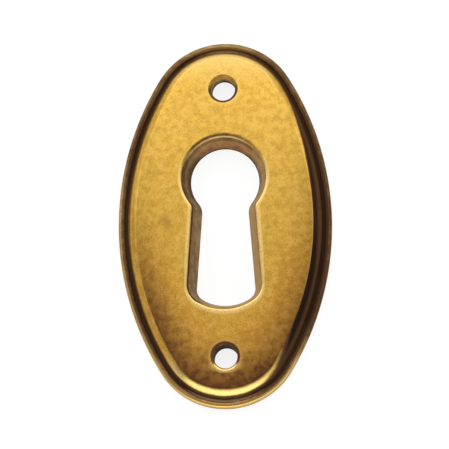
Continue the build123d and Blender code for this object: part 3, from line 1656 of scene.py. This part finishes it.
@dataclass(frozen=True)
class Softbox:
    """A soft lamp that faces the plate.

    Attributes:
        name: Name of the lamp.
        lean: Angle from straight above the plate, in degrees.
        heading: Side that it leans to, in degrees anticlockwise from +X.
        size: Width and length in metres.
        radiance: Brightness of its face, where 1 is white.
        distance: Distance from the plate in metres.
    """

    name: str
    lean: float
    heading: float
    size: tuple[float, float]
    radiance: float
    distance: float = 0.4

    def build(self) -> None:
        """Make the lamp, which the camera doesn't see."""
        data = bpy.data.lights.new(self.name, "AREA")
        data.shape = "RECTANGLE"
        data.size, data.size_y = self.size
        data.energy = self.radiance * pi * self.size[0] * self.size[1]
        lamp = bpy.data.objects.new(self.name, data)
        lean, heading = radians(self.lean), radians(self.heading)
        back = Vector((sin(lean) * cos(heading), sin(lean) * sin(heading), cos(lean)))
        lamp.location = back * self.distance
        lamp.rotation_mode = "QUATERNION"
        lamp.rotation_quaternion = back.to_track_quat("Z", "Y")
        lamp.visible_camera = False
        bpy.context.scene.collection.objects.link(lamp)


@dataclass
class Studio:
    """White floor, soft lamps, a grey surround and the camera.

    Attributes:
        floor_half_side: Half of the floor's side, in metres.
        floor_drop: Gap between the plate's back and the floor, in metres.
        floor_albedo: Grey of the floor under the lamps.
        floor_glow: White that the floor shows to the camera and in reflections.
        surround: Grey of the surround.
        lamps: The soft lamps.
        camera_tilt: Lean of the camera from straight above towards the plate's lower end, in degrees.
        camera_swing: Lean of the camera towards the plate's right side, in degrees.
        camera_roll: Turn of the camera about its own line of sight, in degrees.
        camera_lens: Focal length in millimetres.
        sensor_width: Width of the camera's sensor in millimetres.
        frame_width: Width of the view at the plate, in millimetres.
        target_right: How far right of the origin the camera looks, in millimetres.
        target_up: How far above the origin in the view the camera looks, in millimetres.
    """

    floor_half_side: float = 3.0
    floor_drop: float = 0.00002
    floor_albedo: float = 0.25
    floor_glow: float = 0.84
    surround: float = 0.22
    lamps: Sequence[Softbox] = (
        Softbox("key_softbox", lean=42, heading=94, size=(0.42, 0.3), radiance=1.21),
        Softbox("top_softbox", lean=10, heading=105, size=(0.3, 0.22), radiance=0.68),
        Softbox("back_fill", lean=78, heading=90, size=(0.5, 0.14), radiance=1.5),
        Softbox("back_left_fill", lean=62, heading=142, size=(0.3, 0.3), radiance=1.5),
        Softbox("back_right_fill", lean=62, heading=38, size=(0.3, 0.3), radiance=1.5),
        Softbox("front_fill", lean=75, heading=266, size=(0.8, 0.2), radiance=2.2),
        Softbox("front_right_fill", lean=76, heading=335, size=(0.3, 0.2), radiance=1.1),
        Softbox("left_fill", lean=66, heading=185, size=(0.25, 0.3), radiance=0.6),
    )
    camera_tilt: float = 13.9
    camera_swing: float = 4.4
    camera_roll: float = -0.5
    camera_lens: float = 500.0
    sensor_width: float = 36.0
    frame_width: float = 54.67
    target_right: float = -0.14
    target_up: float = 0.23

    def build(self) -> None:
        """Make the floor, the surround, the lamps and the camera."""
        self.build_floor()
        self.build_surround()
        for lamp in self.lamps:
            lamp.build()
        self.build_camera()
        bpy.context.scene.view_settings.view_transform = "Standard"

    def build_floor(self) -> None:
        """Lay the white floor, which shows its own white to the camera and in reflections."""
        mesh = bmesh.new()
        bmesh.ops.create_grid(mesh, x_segments=1, y_segments=1, size=self.floor_half_side)
        bmesh.ops.translate(mesh, verts=mesh.verts, vec=(0, 0, -self.floor_drop))
        floor = add_object("studio_floor", mesh, self.floor_material())

    def floor_material(self) -> bpy.types.Material:
        """Make the floor's material: matt white with a glow that only seen rays meet.

        Returns:
            The material.
        """
        board = NodeBoard("studio_floor")
        path = board.tree.nodes.new("ShaderNodeLightPath")
        seen = board.larger(path.outputs["Is Camera Ray"], path.outputs["Is Glossy Ray"])
        seen = board.larger(seen, path.outputs["Is Transmission Ray"])
        board.dress("Base Color", (self.floor_albedo,) * 3)
        board.dress("Roughness", 1.0)
        board.dress("Specular IOR Level", 0.0)
        board.dress("Emission Color", (1.0, 1.0, 1.0))
        board.dress("Emission Strength", board.product(seen, self.floor_glow))
        return board.material

    def build_surround(self) -> None:
        """Fill the room with an even grey light."""
        world = bpy.data.worlds.new("studio_surround")
        world.use_nodes = True
        background = next(node for node in world.node_tree.nodes if node.type == "BACKGROUND")
        background.inputs["Color"].default_value = (*[self.surround] * 3, 1.0)
        background.inputs["Strength"].default_value = 1.0
        bpy.context.scene.world = world

    def build_camera(self) -> None:
        """Set up the camera, which looks almost straight down on the plate through a long lens."""
        swing, tilt, roll = map(radians, (self.camera_swing, self.camera_tilt, self.camera_roll))
        back = Vector((tan(swing), -tan(tilt), 1)).normalized()
        level_right = Vector((0, 1, 0)).cross(back).normalized()
        level_up = back.cross(level_right)
        right = level_right * cos(roll) + level_up * sin(roll)
        up = level_up * cos(roll) - level_right * sin(roll)
        target = (right * self.target_right + up * self.target_up) * MILLIMETRE
        distance = self.frame_width * self.camera_lens / self.sensor_width * MILLIMETRE
        data = bpy.data.cameras.new("product_camera")
        data.lens = self.camera_lens
        data.sensor_width = self.sensor_width
        camera = bpy.data.objects.new("product_camera", data)
        turn = Matrix((right, up, back)).transposed().to_4x4()
        camera.matrix_world = Matrix.Translation(target + back * distance) @ turn
        bpy.context.scene.collection.objects.link(camera)
        bpy.context.scene.camera = camera


def main() -> None:
    """Dress the plate and set up the studio around it."""
    logging.basicConfig(level=logging.INFO, format="%(name)s: %(message)s")
    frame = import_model()
    LOG.info("frame holds %s", ", ".join(frame["nodes"]))
    plate = EscutcheonPlate().build()
    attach(plate, BODY_NAME)
    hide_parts(NODE_NAME)
    LOG.info("%s has %d faces", plate.name, len(plate.data.polygons))
    Studio().build()


if __name__ == "__main__":
    main()
